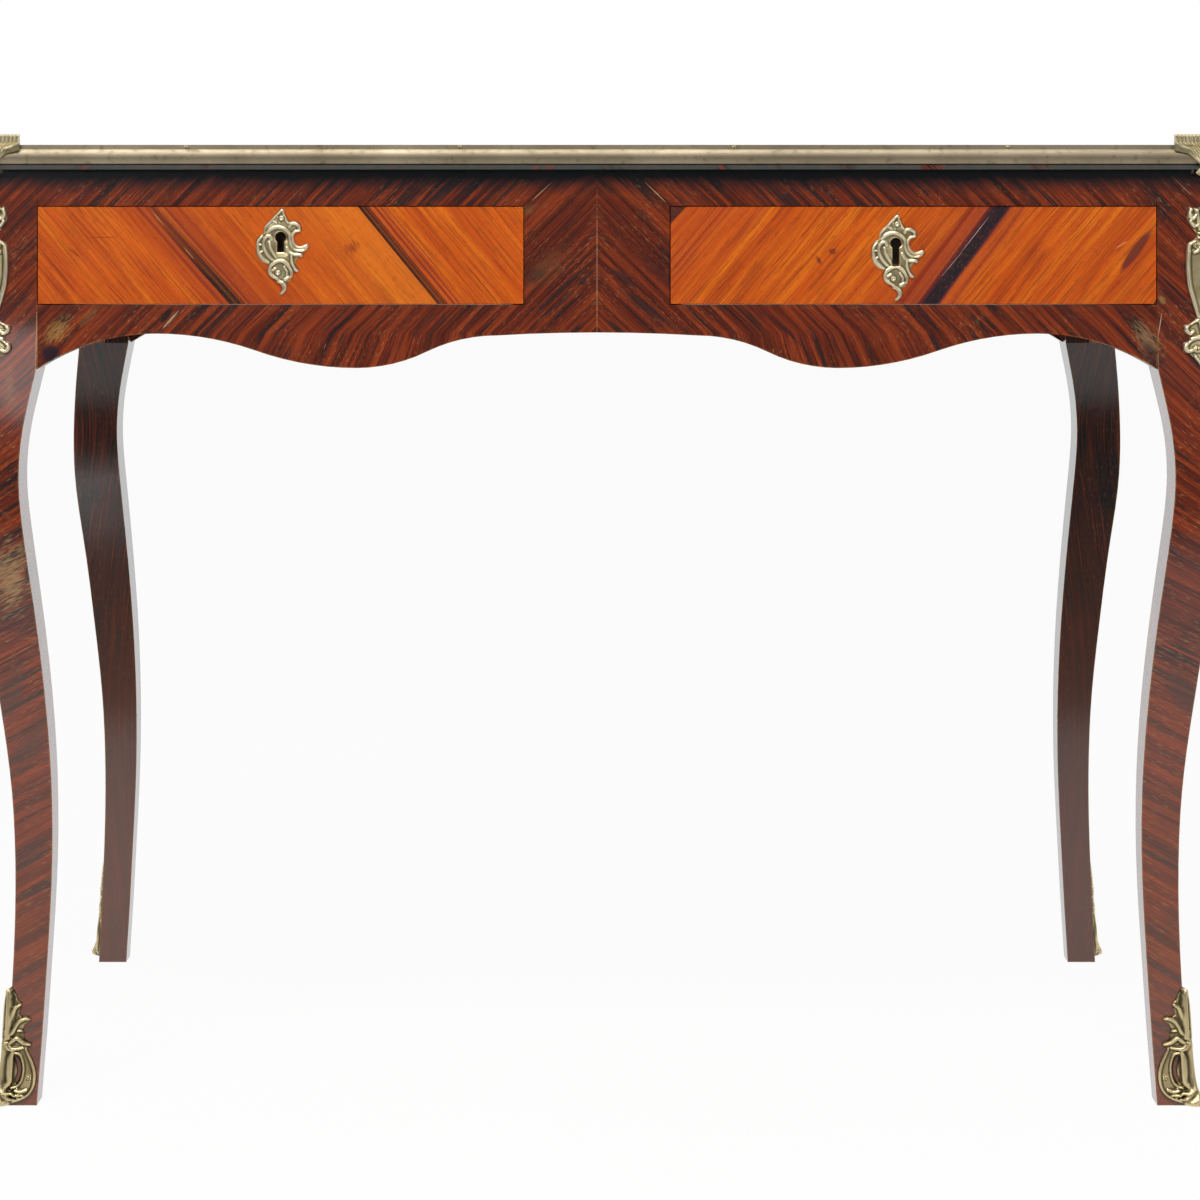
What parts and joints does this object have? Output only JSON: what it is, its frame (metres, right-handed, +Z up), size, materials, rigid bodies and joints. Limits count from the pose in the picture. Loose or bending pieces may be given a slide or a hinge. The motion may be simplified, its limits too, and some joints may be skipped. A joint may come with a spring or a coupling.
{
  "type": "writing table",
  "caption": "Flat writing table in a rococo taste with cabriole legs, shaped aprons, frieze drawers side by side, a brass-bound leather top and gilt-bronze mounts.",
  "frame": {"origin": "on the floor under the middle of the table", "axes": "+X to the right seen from the front, +Y to the back, +Z up; the drawers open towards -Y"},
  "size_m": [1.0112, 0.6112, 0.7786],
  "materials": {
    "top_veneer": "waxed veneer",
    "writing_leather": "satin",
    "edge_brass": "satin",
    "gilt_bronze": "worn gilding",
    "worn_bronze": "satin",
    "drawer_veneer": "french polish",
    "drawer_lining": "planed",
    "lock_iron": "filed",
    "screw_steel": "turned",
    "frame_veneer": "french polish",
    "carcase_wood": "planed"
  },
  "bodies": {
    "frame": {"back_apron": "frame_veneer", "back_brass_edge": "edge_brass", "back_left_clasp": "gilt_bronze", "back_left_knee_mount": "gilt_bronze", "back_left_leg": "frame_veneer", "back_left_sabot": "worn_bronze", "back_right_clasp": "gilt_bronze", "back_right_knee_mount": "gilt_bronze", "back_right_leg": "frame_veneer", "back_right_sabot": "worn_bronze", "centre_bearer": "carcase_wood", "centre_guides": "carcase_wood", "centre_kicker": "carcase_wood", "centre_stile": "frame_veneer", "drawer_stops": "carcase_wood", "edge_pins": "edge_brass", "front_apron": "frame_veneer", "front_brass_edge": "edge_brass", "front_left_clasp": "gilt_bronze", "front_left_knee_mount": "gilt_bronze", "front_left_leg": "frame_veneer", "front_left_sabot": "worn_bronze", "front_right_clasp": "gilt_bronze", "front_right_knee_mount": "gilt_bronze", "front_right_leg": "frame_veneer", "front_right_sabot": "worn_bronze", "front_top_rail": "frame_veneer", "glue_blocks": "lock_iron", "left_apron": "frame_veneer", "left_brass_edge": "edge_brass", "left_guide": "carcase_wood", "left_kicker": "carcase_wood", "left_runner": "carcase_wood", "mount_pins": "worn_bronze", "right_apron": "frame_veneer", "right_brass_edge": "edge_brass", "right_guide": "carcase_wood", "right_kicker": "carcase_wood", "right_runner": "carcase_wood", "top_board": "top_veneer", "top_screws": "screw_steel", "writing_leather": "writing_leather"},
    "left_drawer": {"left_drawer_back": "drawer_lining", "left_drawer_bottom": "drawer_lining", "left_drawer_front": "drawer_veneer", "left_drawer_inner_side": "drawer_lining", "left_drawer_outer_side": "drawer_lining", "left_escutcheon": "gilt_bronze", "left_lock_case": "lock_iron"},
    "right_drawer": {"right_drawer_back": "drawer_lining", "right_drawer_bottom": "drawer_lining", "right_drawer_front": "drawer_veneer", "right_drawer_inner_side": "drawer_lining", "right_drawer_outer_side": "drawer_lining", "right_escutcheon": "gilt_bronze", "right_lock_case": "lock_iron"},
    "left_bolt": {"left_lock_bolt": "lock_iron"},
    "right_bolt": {"right_lock_bolt": "lock_iron"}
  },
  "joints": [
    {"name": "left_drawer_slide", "type": "slide", "parent": "frame", "child": "left_drawer", "axis": [0, -1, 0], "range_m": [0, 0.33]},
    {"name": "right_drawer_slide", "type": "slide", "parent": "frame", "child": "right_drawer", "axis": [0, -1, 0], "range_m": [0, 0.33]},
    {"name": "left_bolt_throw", "type": "slide", "parent": "left_drawer", "child": "left_bolt", "axis": [0, 0, 1], "range_m": [0, 0.007]},
    {"name": "right_bolt_throw", "type": "slide", "parent": "right_drawer", "child": "right_bolt", "axis": [0, 0, 1], "range_m": [0, 0.007]}
  ]
}
